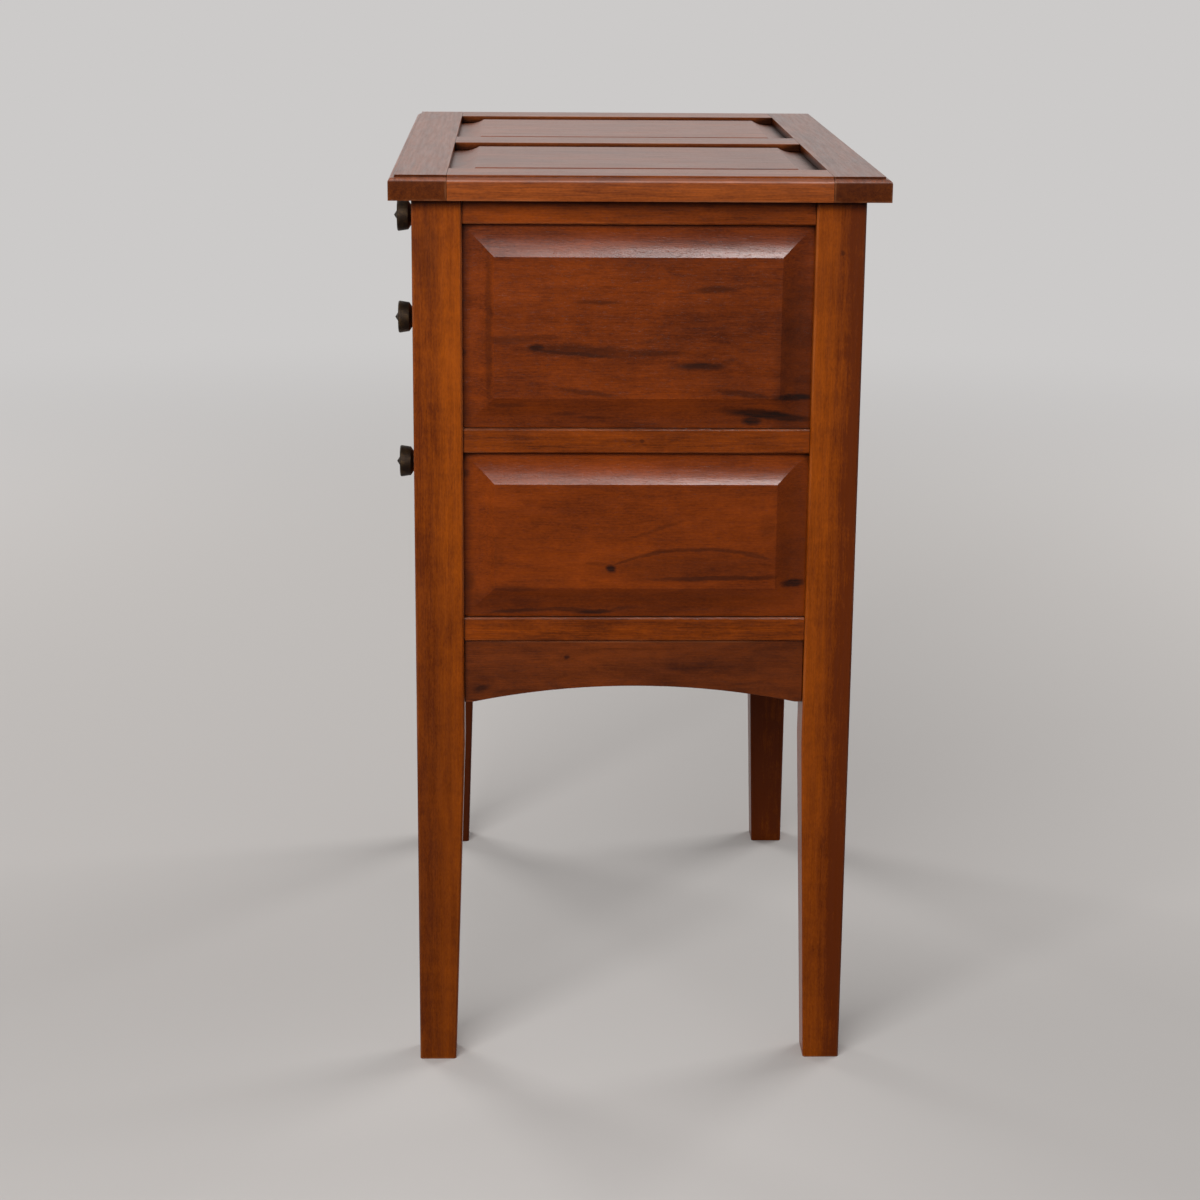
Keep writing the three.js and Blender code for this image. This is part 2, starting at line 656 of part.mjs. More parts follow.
// A drawer in its own frame: Y = 0 on its face and Z = 0 on the rail below it
function buildDrawer(name, opening) {
  const group = new THREE.Group();
  group.position.set(0, frontFace, opening[0]);
  const top = opening[1] - opening[0] - drawerGap;
  const outer = drawerHalfWidth;
  const inner = outer - drawerSideThickness;
  const frontY = [0, drawerFrontThickness];
  const backY = [drawerLength - drawerBackThickness, drawerLength];
  const sideZ = [fit, top];
  const bottomZ = [drawerBottomRise, drawerBottomRise + drawerBottomThickness];
  const backZ = [bottomZ[1] + seam, top - drawerBackDrop];
  const knobZ = (opening[1] - opening[0]) * knobHeightShare;

  const bottomX = grow([-inner, inner], drawerBottomReach);
  const bottomY = [drawerFrontThickness - drawerBottomReach, drawerLength];
  const grooveY = [bottomY[0] - fit, drawerLength + overrun];
  const bottomGroove = block(grow(bottomX, fit), grooveY, grow(bottomZ, fit));

  // Half-blind tails enter the front, through tails enter the back
  const frontTails = (by) => tailOutlines(drawerFrontThickness, dovetailLap, sideZ, by);
  const backTails = (by) => tailOutlines(backY[0], backY[1], backZ, by);
  const sideX = [inner, outer];
  const tailCuts = (tails) => tails(fit).flatMap((tail) => [
    alongX(tail, [inner - fit, outer + overrun]),
    alongX(tail, [-outer - overrun, fit - inner]),
  ]);

  let front = alongX(outline([
    [frontY[1], drawerFrontRise], [frontY[1], top], [drawerFrontArris, top], [0, top - drawerFrontArris],
    [0, drawerFrontRise + drawerFrontArris], [drawerFrontArris, drawerFrontRise],
  ]), [-outer, outer]);
  front = tailCuts(frontTails).reduce((wood, cut) => wood.subtract(cut), front);
  const holeRadius = screwRadius + fit;
  const holeLength = drawerFrontThickness + 2 * overrun;
  const hole = new THREE.CylinderGeometry(holeRadius, holeRadius, holeLength, turnedSteps);
  hole.translate(0, drawerFrontThickness / 2, knobZ);
  front = front.subtract(bottomGroove).subtract(solidOf(hole));
  group.add(piece(`${name}_front`, geometryOf(front), 'panel', [0, 0, 0]));

  let side = block(sideX, [drawerFrontThickness + seam, backY[0]], sideZ);
  side = side.add(block(sideX, [backY[0] - overrun, drawerLength], [sideZ[0], backZ[0] - seam]));
  for (const tail of [...frontTails(0), ...backTails(0)]) {
    side = side.add(alongX(tail, sideX));
  }
  side = side.subtract(bottomGroove);
  group.add(...pair(`${name}_side`, geometryOf(side), 'inside', [outer, drawerFrontThickness, 0]));

  let back = block([-outer, outer], inset(backY, seam), backZ);
  back = tailCuts(backTails).reduce((wood, cut) => wood.subtract(cut), back);
  group.add(piece(`${name}_back`, geometryOf(back), 'inside', [0, backY[0], backZ[0]]));
  const bottom = block(bottomX, bottomY, bottomZ);
  group.add(piece(`${name}_bottom`, geometryOf(bottom), 'inside', [0, bottomY[0], bottomZ[0]]));

  const knob = piece(`${name}_knob`, geometryOf(turned(knobProfile())), 'knob', [0, 0, 0]);
  const bolt = piece(`${name}_knob_screw`, geometryOf(screw()), 'screw', [0, 0, 0]);
  knob.position.z = knobZ;
  bolt.position.z = knobZ;
  group.add(knob, bolt);
  return group;
}

// The chest stands with the middle of its outer box, knobs included, over the origin
const chest = new THREE.Group();
chest.position.y = -(frontFace - knobLength + topDepth / 2) / 2;
chest.add(buildCase());
chest.add(buildTop());
chest.add(buildDrawer('drawer_top', [levels.upper[1], levels.top[0]]));
chest.add(buildDrawer('drawer_middle', [levels.middle[1], levels.upper[0]]));
chest.add(buildDrawer('drawer_bottom', [levels.bottom[1], levels.middle[0]]));

export default chest;
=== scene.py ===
"""A small chest of drawers in polished hardwood: its finishes, knobs, floor, lights and camera."""

import json
import math
import random

import bmesh
import bpy
from mathutils import Matrix, Vector

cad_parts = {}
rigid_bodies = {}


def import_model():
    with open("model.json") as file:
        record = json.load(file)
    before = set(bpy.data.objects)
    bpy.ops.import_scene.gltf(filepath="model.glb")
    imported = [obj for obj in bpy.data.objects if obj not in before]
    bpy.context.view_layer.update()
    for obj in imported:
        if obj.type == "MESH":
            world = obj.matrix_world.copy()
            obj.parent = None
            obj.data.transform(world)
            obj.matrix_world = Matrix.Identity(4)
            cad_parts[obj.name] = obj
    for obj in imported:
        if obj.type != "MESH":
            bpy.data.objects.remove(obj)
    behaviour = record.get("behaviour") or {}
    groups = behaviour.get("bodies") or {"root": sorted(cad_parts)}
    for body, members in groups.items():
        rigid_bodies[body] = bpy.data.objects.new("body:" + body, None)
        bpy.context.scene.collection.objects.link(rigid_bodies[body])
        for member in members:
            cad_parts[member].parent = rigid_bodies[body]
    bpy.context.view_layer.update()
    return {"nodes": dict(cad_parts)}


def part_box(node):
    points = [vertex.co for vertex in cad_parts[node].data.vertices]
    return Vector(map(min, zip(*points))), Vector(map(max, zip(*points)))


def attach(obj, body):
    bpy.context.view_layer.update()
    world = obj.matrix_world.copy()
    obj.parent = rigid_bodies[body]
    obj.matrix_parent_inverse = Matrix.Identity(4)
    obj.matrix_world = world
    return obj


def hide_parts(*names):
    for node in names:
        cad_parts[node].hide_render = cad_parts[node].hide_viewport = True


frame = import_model()

MM = 0.001


def srgb(red, green, blue):
    """A colour of 0 to 255 as the renderer's linear one, by the curve of the sRGB standard."""
    linear = [((c / 255 + 0.055) / 1.055) ** 2.4 if c > 10.3 else c / 3295 for c in (red, green, blue)]
    return (*linear, 1.0)


def add(name, data):
    """A new object in the scene."""
    made = bpy.data.objects.new(name, data)
    bpy.context.scene.collection.objects.link(made)
    return made


class Tree:
    """Adds nodes to one node tree, and links what they are given."""

    def __init__(self, tree):
        self.tree = tree

    def link(self, value, socket):
        """Makes a socket take its value from another."""
        self.tree.links.new(value, socket)

    def node(self, kind, inputs=None, **settings):
        """A new node with its settings, each input linked or set to a constant."""
        made = self.tree.nodes.new(kind)
        for name, value in settings.items():
            setattr(made, name, value)
        for socket, value in (inputs or {}).items():
            if isinstance(value, bpy.types.NodeSocket):
                self.link(value, made.inputs[socket])
            else:
                made.inputs[socket].default_value = value
        return made

    def math(self, operation, *values, clamp=False):
        """The result of an operation on numbers."""
        made = self.node("ShaderNodeMath", dict(enumerate(values)), operation=operation, use_clamp=clamp)
        return made.outputs[0]

    def vector(self, operation, *values):
        """The result of an operation on vectors."""
        made = self.node("ShaderNodeVectorMath", dict(enumerate(values)), operation=operation)
        return made.outputs["Value" if operation == "LENGTH" else "Vector"]

    def split(self, vector):
        """A vector's X, Y and Z."""
        return self.node("ShaderNodeSeparateXYZ", {0: vector}).outputs

    def total(self, start, layers, shares):
        """The start with the share of each named layer added."""
        for name, share in shares.items():
            start = self.math("MULTIPLY_ADD", layers[name], share, start)
        return start

    def spread(self, value, low, high, to_low=0.0, to_high=1.0):
        """The value's place between low and high, eased and kept within the new limits."""
        inputs = {"Value": value, "From Min": low, "From Max": high, "To Min": to_low, "To Max": to_high}
        return self.node("ShaderNodeMapRange", inputs, interpolation_type="SMOOTHSTEP").outputs[0]

    def noise(self, place, size, detail=2.0, rough=0.5, swirl=0.0):
        """Noise whose lumps are about as large as size, one length for each axis."""
        scaled = self.vector("MULTIPLY", place, [1 / length for length in size])
        inputs = {"Vector": scaled, "Scale": 1.0, "Detail": detail, "Roughness": rough, "Distortion": swirl}
        return self.node("ShaderNodeTexNoise", inputs).outputs

    def mix(self, factor, first, second):
        """A colour between the first and the second."""
        made = self.node("ShaderNodeMix", {0: factor, 6: first, 7: second}, data_type="RGBA")
        return made.outputs[2]


def cleared_tree(owner):
    """The emptied node tree of a material or of the world."""
    owner.use_nodes = True
    owner.node_tree.nodes.clear()
    return Tree(owner.node_tree)


def new_group(name, inputs, outputs, kind="ShaderNodeTree"):
    """An empty node group, the values that it is given and the sockets for those that it makes."""
    group = bpy.data.node_groups.new(name, kind)
    for direction, sockets in (("INPUT", inputs), ("OUTPUT", outputs)):
        for socket, socket_type in sockets.items():
            group.interface.new_socket(socket, in_out=direction, socket_type="NodeSocket" + socket_type)
    return group, group.nodes.new("NodeGroupInput").outputs, group.nodes.new("NodeGroupOutput").inputs


# Wood figures that change its tone, and all those whose strength each finish sets
TONE_FIGURES = ("Rings", "Clouds", "Bands", "Flames", "Ripple", "Fibres")
FIGURES = (*TONE_FIGURES, "Streaks")

# Noises behind them: size along and across the grain in millimetres, detail, roughness and swirl
WOOD_NOISES = {
    "Wander": (500, 120, 2.0, 0.5, 0.0),
    "Clouds": (100, 32, 4.0, 0.5, 0.0),
    "Bands": (400, 4, 4.0, 0.6, 0.0),
    "Flames": (40, 14, 2.0, 0.4, 1.6),
    "Ripple": (9, 40, 2.0, 0.5, 0.0),
    "Fibres": (22, 0.8, 4.0, 0.65, 0.0),
    "Flecks": (3, 1.2, 2.0, 0.5, 0.0),
    "Pores": (5, 0.4, 1.0, 0.5, 0.0),
    "Streaks": (120, 9, 2.0, 0.55, 0.0),
    "Waves": (20, 4, 2.0, 0.5, 0.0),
    "Wear": (60, 3, 3.0, 0.6, 0.0),
}

# Growth rings: how far they wander, how many there are to a metre, and their detail
RING_WANDER = 22 * MM
RINGS_PER_METRE = 260.0
RING_DETAIL = 4.0

# Where pores and streaks start to show and are whole, and how much the fibres fray the streaks
PORE_LIMITS = (0.62, 0.78)
STREAK_LIMITS = (0.66, 0.76)
FRAY_LIMITS = (0.25, 0.75)
FRAYED_STREAK = (0.75, 1.1)

# How far the flecks change the tone, and how far pores and end grain take on the streaks' colour
FLECK_TONE = 0.6
PORE_STAIN = 0.35
END_STAIN = 0.62

# Arrises rubbed paler: how far in from the edge, in which clouds, how strongly, and towards which colour
RUBBED_WIDTHS = (0.4 * MM, 2.2 * MM)
RUBBED_CLOUDS = (0.35, 0.65)
RUBBED_MOST = 0.15
RUBBED_PALENESS = 0.35
RUBBED_COLOR = (0.9, 0.55, 0.3, 1.0)

# Roughness of the plain wood, what its figures add to it and to the height of its surface, and its bump
WOOD_ROUGHNESS = 0.22
ROUGHNESS_SHARES = {"Fibres": 0.16, "Pores": 0.2, "End": 0.15}
HEIGHT_SHARES = {"Waves": 0.9, "Fibres": 0.4, "Flecks": 0.5, "Pores": -0.6}
WOOD_BUMP = {"Strength": 0.4, "Distance": 0.2 * MM}


def wood_noise(tree, name, place):
    """One of the noises behind the wood's figures, at a place with the grain along X."""
    along, across, *texture = WOOD_NOISES[name]
    return tree.noise(place, (along * MM, across * MM, across * MM), *texture)


def make_wood_group():
    """Solid wood with its grain along X and its pith on the X axis, so each cut shows its own figure."""
    inputs = {"Place": "Vector", "Light": "Color", "Dark": "Color", "Streak": "Color"}
    inputs |= {name: "Float" for name in ("End", "Arris", "Marks", "Tone", *FIGURES)}
    outputs = {"Color": "Color", "Roughness": "Float", "Height": "Float"}
    group, given, made = new_group("Wood", inputs, outputs)
    tree = Tree(group)
    place = given["Place"]

    # Wandering growth rings round the pith
    wander = tree.vector("SUBTRACT", wood_noise(tree, "Wander", place)["Color"], (0.5, 0.5, 0.5))
    bent = tree.vector("ADD", place, tree.vector("MULTIPLY", wander, (0.0, RING_WANDER, RING_WANDER)))
    radius = tree.vector("LENGTH", tree.vector("MULTIPLY", bent, (0.0, 1.0, 1.0)))
    rings = tree.node(
        "ShaderNodeTexNoise",
        {"W": tree.math("MULTIPLY", radius, RINGS_PER_METRE), "Scale": 1.0, "Detail": RING_DETAIL},
        noise_dimensions="1D",
    )

    # Clouds and long bands of lighter and darker wood, swirled flames, cross ripple, fibres, flecks and pores
    layers = {name: wood_noise(tree, name, bent)[0] for name in ("Clouds", "Bands", "Flames", "Ripple")}
    layers |= {name: wood_noise(tree, name, place)[0] for name in ("Fibres", "Flecks", "Waves")}
    layers["Rings"] = rings.outputs[0]
    layers["Pores"] = tree.spread(wood_noise(tree, "Pores", place)[0], *PORE_LIMITS)
    layers["End"] = given["End"]

    # Dark mineral streaks, long and thin, that fade out at both ends
    streaks_and_shade = tree.spread(wood_noise(tree, "Streaks", bent)[0], *STREAK_LIMITS)
    streaks_and_shade = tree.math("MULTIPLY", streaks_and_shade, given["Streaks"])
    # The marks join them, and some of the marks are painted shade
    streaks_and_shade = tree.math("MAXIMUM", streaks_and_shade, given["Marks"], clamp=True)
    frayed = tree.spread(layers["Fibres"], *FRAY_LIMITS, *FRAYED_STREAK)
    streaks_and_shade = tree.math("MULTIPLY", streaks_and_shade, frayed, clamp=True)

    # Colour from the tone of all figures, with streaks, marks and painted shade, and stained pores over it
    strengths = {name: given[name] for name in TONE_FIGURES} | {"Flecks": FLECK_TONE}
    centred = {name: tree.math("SUBTRACT", layers[name], 0.5) for name in strengths}
    shade = tree.total(tree.math("ADD", given["Tone"], 0.5), centred, strengths)
    color = tree.mix(tree.math("ADD", shade, 0.0, clamp=True), given["Dark"], given["Light"])
    color = tree.mix(streaks_and_shade, color, given["Streak"])
    color = tree.mix(tree.math("MULTIPLY", layers["Pores"], PORE_STAIN), color, given["Streak"])

    # End grain drinks in more of the finish, and the arrises are rubbed paler
    color = tree.mix(tree.math("MULTIPLY", given["End"], END_STAIN), color, given["Streak"])
    patches = tree.spread(layers["Clouds"], *RUBBED_CLOUDS, 0.0, RUBBED_MOST)
    pale = tree.mix(RUBBED_PALENESS, given["Light"], RUBBED_COLOR)
    color = tree.mix(tree.math("MULTIPLY", given["Arris"], patches), color, pale)

    tree.link(color, made["Color"])
    tree.link(tree.total(WOOD_ROUGHNESS, layers, ROUGHNESS_SHARES), made["Roughness"])
    tree.link(tree.total(0.0, layers, HEIGHT_SHARES), made["Height"])
    return group


def make_arris_group():
    """How near a point of a board is to the board's edges, from its middle and half its size."""
    inputs = {"Place": "Vector", "Middle": "Vector", "Half": "Vector"}
    group, given, made = new_group("Arris", inputs, {"Arris": "Float"})
    tree = Tree(group)
    away = tree.vector("ABSOLUTE", tree.vector("SUBTRACT", given["Place"], given["Middle"]))
    x, y, z = tree.split(tree.vector("SUBTRACT", given["Half"], away))
    pairs = [tree.math("MAXIMUM", *pair) for pair in ((x, y), (y, z), (x, z))]
    second = tree.math("MINIMUM", pairs[0], tree.math("MINIMUM", pairs[1], pairs[2]))
    tree.link(tree.spread(second, *RUBBED_WIDTHS, 1.0, 0.0), made["Arris"])
    return group


# Share of its half size at which a mark starts to fade, and where it ends
MARK_FADE = (0.5, 1.6)


def make_mark_group():
    """One dark streak, knot or patch of painted shade, as a drawn-out spot in Y and Z on top of the marks
    before it.
    """
    inputs = {"Place": "Vector", "Middle": "Vector"}
    inputs |= {name: "Float" for name in ("Length", "Height", "Slope", "Strength", "Before")}
    group, given, made = new_group("Mark", inputs, {"Mark": "Float"})
    tree = Tree(group)
    along, up = tree.split(tree.vector("SUBTRACT", given["Place"], given["Middle"]))[1:]
    level = tree.math("SUBTRACT", up, tree.math("MULTIPLY", along, given["Slope"]))
    far = tree.math("DIVIDE", along, given["Length"])
    high = tree.math("DIVIDE", level, given["Height"])
    reach = tree.math("SQRT", tree.math("MULTIPLY_ADD", far, far, tree.math("MULTIPLY", high, high)))
    dark = tree.math("MULTIPLY", tree.spread(reach, *MARK_FADE, 1.0, 0.0), given["Strength"])
    tree.link(tree.math("MAXIMUM", given["Before"], dark), made["Mark"])
    return group


WOOD_GROUP = make_wood_group()
ARRIS_GROUP = make_arris_group()
MARK_GROUP = make_mark_group()

# Turns that lay the grain of a board along X for the wood's figure
GRAIN_TURNS = {"X": (0.0, 0.0, 0.0), "Y": (0.0, 0.0, -math.pi / 2), "Z": (0.0, math.pi / 2, 0.0)}

# Where in its tree a board is cut: its distance from the pith, and how far along
PITH_DISTANCES = (50 * MM, 120 * MM)
TREE_REACH = 5.0

# How squarely end grain faces along the grain, from where it starts to show to where it is whole
END_FACING = (0.8, 1.0)

# Wood finishes: light, dark and streak colours, then the strengths of the figures
FINISHES = {
    "leg": ((160, 76, 8), (96, 38, 3), (46, 16, 5), 0.35, 0.9, 0.3, 0.5, 0.35, 0.9, 0.0),
    "rail": ((148, 66, 7), (84, 33, 3), (36, 13, 4), 0.3, 1.5, 0.6, 0.7, 0.2, 1.2, 0.4),
    "apron": ((114, 51, 14), (62, 24, 6), (30, 11, 5), 0.3, 1.6, 0.5, 0.9, 0.2, 1.0, 0.4),
    "panel": ((142, 61, 9), (76, 27, 3), (26, 8, 3), 0.2, 0.95, 0.3, 0.5, 0.2, 0.8, 0.12),
    "top": ((155, 77, 26), (89, 38, 12), (36, 11, 3), 0.3, 0.9, 1.0, 0.5, 0.1, 1.6, 0.2),
    "inside": ((192, 144, 92), (158, 110, 62), (104, 68, 38), 1.6, 0.6, 0.6, 0.2, 0.0, 1.2, 0.1),
    "back": ((120, 60, 26), (84, 38, 15), (50, 22, 10), 1.2, 0.8, 0.6, 0.3, 0.0, 1.1, 0.3),
}

# Boards that are lighter or darker than plain, and how far the others may be either way
TONES = {
    "side_panel_upper_right": -0.13,
    "side_panel_lower_right": 0.06,
    "side_rail_top_right": -0.1,
    "side_rail_bottom_right": -0.12,
    "leg_back_right": 0.1,
    "leg_front_right": 0.05,
    # Painted shade: the two far legs are darker, as if in the chest's shadow
    "leg_front_left": -0.45,
    "leg_back_left": -0.5,
    "top_rail_back": -0.2,
}
TONE_SPREAD = 0.12

# Darker heartwood in a leg: where it starts in millimetres along Y, the way it lies from there, how much it
# leans, how wide its edge is blurred in millimetres, and its tone
HEARTWOOD = {
    "leg_front_right": (-159, -1, 0.004, 7, -0.3),
    "leg_back_right": (172, 1, -0.006, 15, -0.75),
    "leg_front_left": (-152, 1, -0.01, 5, -0.4),
    "leg_back_left": (160, -1, 0.012, 5, -0.4),
}

# How far its edge wanders, and the size and detail of the noise that it follows
HEARTWOOD_WANDER = 12 * MM
HEARTWOOD_NOISE = ((30 * MM, 30 * MM, 200 * MM), 3.0)

# Streaks and knots, and patches of painted shade on bevels and legs: place along Y and Z, half length and
# half height in millimetres, then slope and strength
DARK_MARKS_AND_SHADE = {
    "side_panel_upper_right": (
        (-27, 659, 15, 1.8, 0.0, 0.5),
        (-100, 628, 20, 3.2, 0.03, 0.45),
        (-72, 631, 16, 1.4, -0.02, 0.3),
        (-77, 621.5, 7, 2.9, 0.0, 1.0),
        (-44, 619.5, 40, 4.6, -0.03, 0.6),
        # Painted shade on the steep inner part of the left bevel
        (-115.5, 637, 2.6, 62, 0.0, 0.42),
        (-46, 617, 34, 1.8, -0.08, 0.8),
        (17, 618, 24, 2.6, -0.02, 0.5),
        (21, 628, 12, 1.8, 0.1, 0.3),
        (56, 607, 19, 3.0, 0.0, 0.85),
        (79, 611, 7, 2.0, 0.1, 0.4),
        (67, 669.5, 16, 3.2, 0.04, 0.65),
        (101, 672.5, 26, 1.8, 0.03, 0.3),
        (-34, 585, 22, 2.2, -0.14, 0.5),
        (94, 584, 22, 2.6, -0.13, 0.6),
        (133, 581, 17, 3.2, 0.0, 1.0),
        (113, 566, 38, 4.2, -0.1, 1.0),
        (99, 561.5, 8, 3.6, 0.0, 0.95),
        (-99, 574, 17, 1.8, 0.0, 0.4),
        (-54, 567, 13, 1.7, 0.0, 0.4),
        (-28, 563.5, 18, 1.5, 0.0, 0.45),
        (21, 558, 30, 1.4, 0.0, 0.3),
        (88, 630, 62, 52, 0.0, 0.1),
        # Darker wood and painted shade on the right bevel
        (136, 634, 16, 20, 0.0, 0.55),
        (134, 600, 16, 80, 0.0, 0.46),
        # Painted shade along the bottom bevel
        (0, 566, 170, 10, 0.0, 0.22),
        (138, 669, 14, 3.0, 0.0, 0.4),
        (-137, 617, 3, 3, 0.0, 0.6),
    ),
    "side_panel_lower_right": (
        (-15, 438, 4.2, 3.2, 0.0, 1.0),
        (-27, 441.5, 10, 1.8, -0.05, 0.4),
        (0, 445.5, 14, 1.6, 0.33, 0.55),
        (23, 451, 19, 1.6, 0.17, 0.6),
        (53, 454, 25, 1.6, 0.02, 0.55),
        (84, 452.5, 21, 1.6, -0.1, 0.55),
        (103, 449, 12, 1.6, -0.22, 0.5),
        (47, 440, 68, 11, 0.0, 0.3),
        (71, 429.5, 53, 2.2, 0.02, 0.7),
        (136, 424.5, 10, 3.6, 0.0, 0.95),
        (-94, 420, 20, 3.0, 0.0, 0.45),
        (-90, 400.5, 26, 1.8, 0.06, 0.75),
        (-52, 401.5, 26, 1.9, -0.02, 0.7),
        (-28, 399.7, 16, 2.2, 0.0, 0.9),
        (-9, 402, 11, 1.8, 0.15, 0.6),
        (21, 404.8, 38, 1.3, 0.0, 0.35),
        (-135, 517.5, 3.2, 3.2, 0.0, 0.6),
        (-133, 425, 5, 9, 0.0, 0.45),
        (-76, 478, 5, 4.5, 0.0, 0.2),
        (-109, 451, 5, 12, 0.0, 0.2),
        (21, 470.5, 25, 1.5, 0.33, 0.25),
        (114, 472, 7, 11, 0.0, 0.25),
        # Darker wood and painted shade on the right bevel
        (136, 460, 14, 60, 0.0, 0.42),
        # Painted shade along the bottom bevel
        (0, 408, 170, 11, 0.0, 0.38),
    ),
    "side_apron_right": (
        (-51, 361, 2.4, 1.7, 0.0, 0.8),
        (-123, 334, 6, 2.8, 0.2, 0.7),
        (80, 352, 90, 30, 0.0, 0.14),
    ),
    "side_rail_middle_right": (
        (9, 545, 1.8, 1.4, 0.0, 0.7),
        (-132, 548, 6, 14, 0.0, 0.2),
    ),
    "leg_back_right": (
        (168, 700, 1.8, 2.4, 0.0, 0.7),
        (166, 690, 40, 70, 0.0, 0.1),
        # Painted shade: the leg darker towards the floor
        (160, 60, 30, 300, 0.0, 0.13),
    ),
    "leg_front_right": (
        (-165, 700, 9, 30, 0.0, 0.25),
        # Painted shade: the leg darker towards the floor
        (-160, 60, 30, 300, 0.0, 0.34),
    ),
    "leg_front_left": (
        # Painted shade: the far leg darker, as if in the chest's shadow
        (-150, 120, 60, 330, 0.0, 0.52),
    ),
}

# How far they wander, and the size, detail and roughness of the noise that they follow
MARK_WANDER = 4 * MM
MARK_NOISE = ((12 * MM, 16 * MM, 6 * MM), 3.0, 0.6)

# Painted shade that darkens the inner corners, most of all under what overhangs them: how far the search for
# what is near leans from the surface, and how open a place is where the painted shade is darkest and where it
# ends
CREVICE_REACH = 16 * MM
CREVICE_SAMPLES = 8
CREVICE_SHADE = ((0.0, 0.0, 0.8), 0.2, 0.52)
# On the top the search leans towards +Y, so the painted shade falls on the +Y ends of its panels' coves and
# spares the -Y ends
CREVICE_SHADES = {"top": ((0.0, 0.4, 0.0), 0.58, 0.72)}
PAINTED_SHADE_MOST = 0.95
SHADE_AND_DUST_COLOR = (26, 8, 3)

# Dust on the sides' ledges, by how far up they face
LEDGE_SLOPES = (0.6, 0.95)
LEDGE_DUST = 0.8

# Coat of polish: how much of it a surface keeps where it is worn and where it isn't, the coat's roughness and
# IOR, and the IOR under it
COAT = (0.26, 0.42, 0.26, 1.3, 1.1)
NO_COAT = (0.0, 0.0, 0.3, 1.3, 1.15)
COATS = {"top": (0.62, 1.0, 0.38, 1.75, 1.15), "inside": NO_COAT, "back": NO_COAT}
WEAR_LIMITS = (0.3, 0.7)

# How much of its coat end grain loses, and how much the upright edge of the top keeps, by how far up it faces
END_COAT_LOSS = 0.8
TOP_EDGE_SLOPES = (0.05, 0.4)
TOP_EDGE_COAT = 0.14

# Pieces by the start of their names: the axis of their grain, and their finish
BOARDS = {
    "leg_": ("Z", "leg"),
    "side_rail_": ("Y", "rail"),
    "side_apron_": ("Y", "apron"),
    "side_panel_": ("Y", "panel"),
    "front_rail_": ("X", "rail"),
    "front_apron": ("X", "apron"),
    "drawer_runner_": ("Y", "inside"),
    "kicker_": ("Y", "inside"),
    "back_rail_": ("X", "back"),
    "back_panel": ("X", "back"),
    "top_rail_end_": ("Y", "top"),
    "top_rail_": ("X", "top"),
    "top_muntin": ("Y", "top"),
    "top_panel_": ("Y", "top"),
}
for drawer in ("drawer_top", "drawer_middle", "drawer_bottom"):
    BOARDS[drawer + "_front"] = ("X", "panel")
    BOARDS[drawer + "_side_"] = ("Y", "inside")
    BOARDS[drawer + "_back"] = ("X", "inside")
    BOARDS[drawer + "_bottom"] = ("X", "inside")


def heartwood(tree, place, name):
    """The change of tone at a point of a leg by how far it lies in the darker heartwood."""
    start, side, lean, blur, tone = HEARTWOOD[name]
    along, up = tree.split(place)[1:]
    edge = tree.math("MULTIPLY_ADD", up, lean, start * MM)
    wander = tree.noise(place, *HEARTWOOD_NOISE)[0]
    edge = tree.math("MULTIPLY_ADD", tree.math("SUBTRACT", wander, 0.5), HEARTWOOD_WANDER, edge)
    depth = tree.math("MULTIPLY", tree.math("SUBTRACT", along, edge), side)
    return tree.spread(depth, -blur * MM, blur * MM, 0.0, tone)


def marked(tree, place, name):
    """How dark the streaks, knots and patches of painted shade make a point, from 0 to 1."""
    drift = tree.noise(place, *MARK_NOISE)["Color"]
    drift = tree.vector("MULTIPLY", tree.vector("SUBTRACT", drift, (0.5, 0.5, 0.5)), [MARK_WANDER] * 3)
    bent = tree.vector("ADD", place, drift)
    before = 0.0
    for along, up, length, height, slope, strength in DARK_MARKS_AND_SHADE[name]:
        before = tree.node("ShaderNodeGroup", {
            "Place": bent,
            "Middle": (0.0, along * MM, up * MM),
            "Length": length * MM,
            "Height": height * MM,
            "Slope": slope,
            "Strength": strength,
            "Before": before,
        }, node_tree=MARK_GROUP).outputs[0]
    return before


def painted_shade_and_dust(tree, outward, name, finish):
    """How much painted shade in the corners and dust on the sides' ledges lies on a point, from 0 to 1."""
    lean, darkest, faintest = CREVICE_SHADES.get(finish, CREVICE_SHADE)
    crevice = tree.node("ShaderNodeAmbientOcclusion", {
        "Distance": CREVICE_REACH,
        "Normal": tree.vector("NORMALIZE", tree.vector("ADD", outward, lean)),
    }, samples=CREVICE_SAMPLES)
    shade_and_dust = tree.spread(crevice.outputs["AO"], darkest, faintest, PAINTED_SHADE_MOST, 0.0)
    if name.startswith("side_"):
        dust = tree.spread(tree.split(outward)["Z"], *LEDGE_SLOPES, 0.0, LEDGE_DUST)
        shade_and_dust = tree.math("MAXIMUM", shade_and_dust, dust)
    return shade_and_dust


def coated(tree, turned, outward, end, shade_and_dust, finish):
    """How much coat of polish a point has kept."""
    worn, whole = COATS.get(finish, COAT)[:2]
    wear = tree.spread(wood_noise(tree, "Wear", turned)[0], *WEAR_LIMITS, worn, whole)
    coat = tree.math("MULTIPLY", wear, tree.math("SUBTRACT", 1.0, shade_and_dust))
    coat = tree.math("MULTIPLY", coat, tree.math("MULTIPLY_ADD", end, -END_COAT_LOSS, 1.0))
    if finish == "top":
        level = tree.spread(tree.split(outward)["Z"], *TOP_EDGE_SLOPES, TOP_EDGE_COAT, 1.0)
        coat = tree.math("MULTIPLY", coat, level)
    return coat


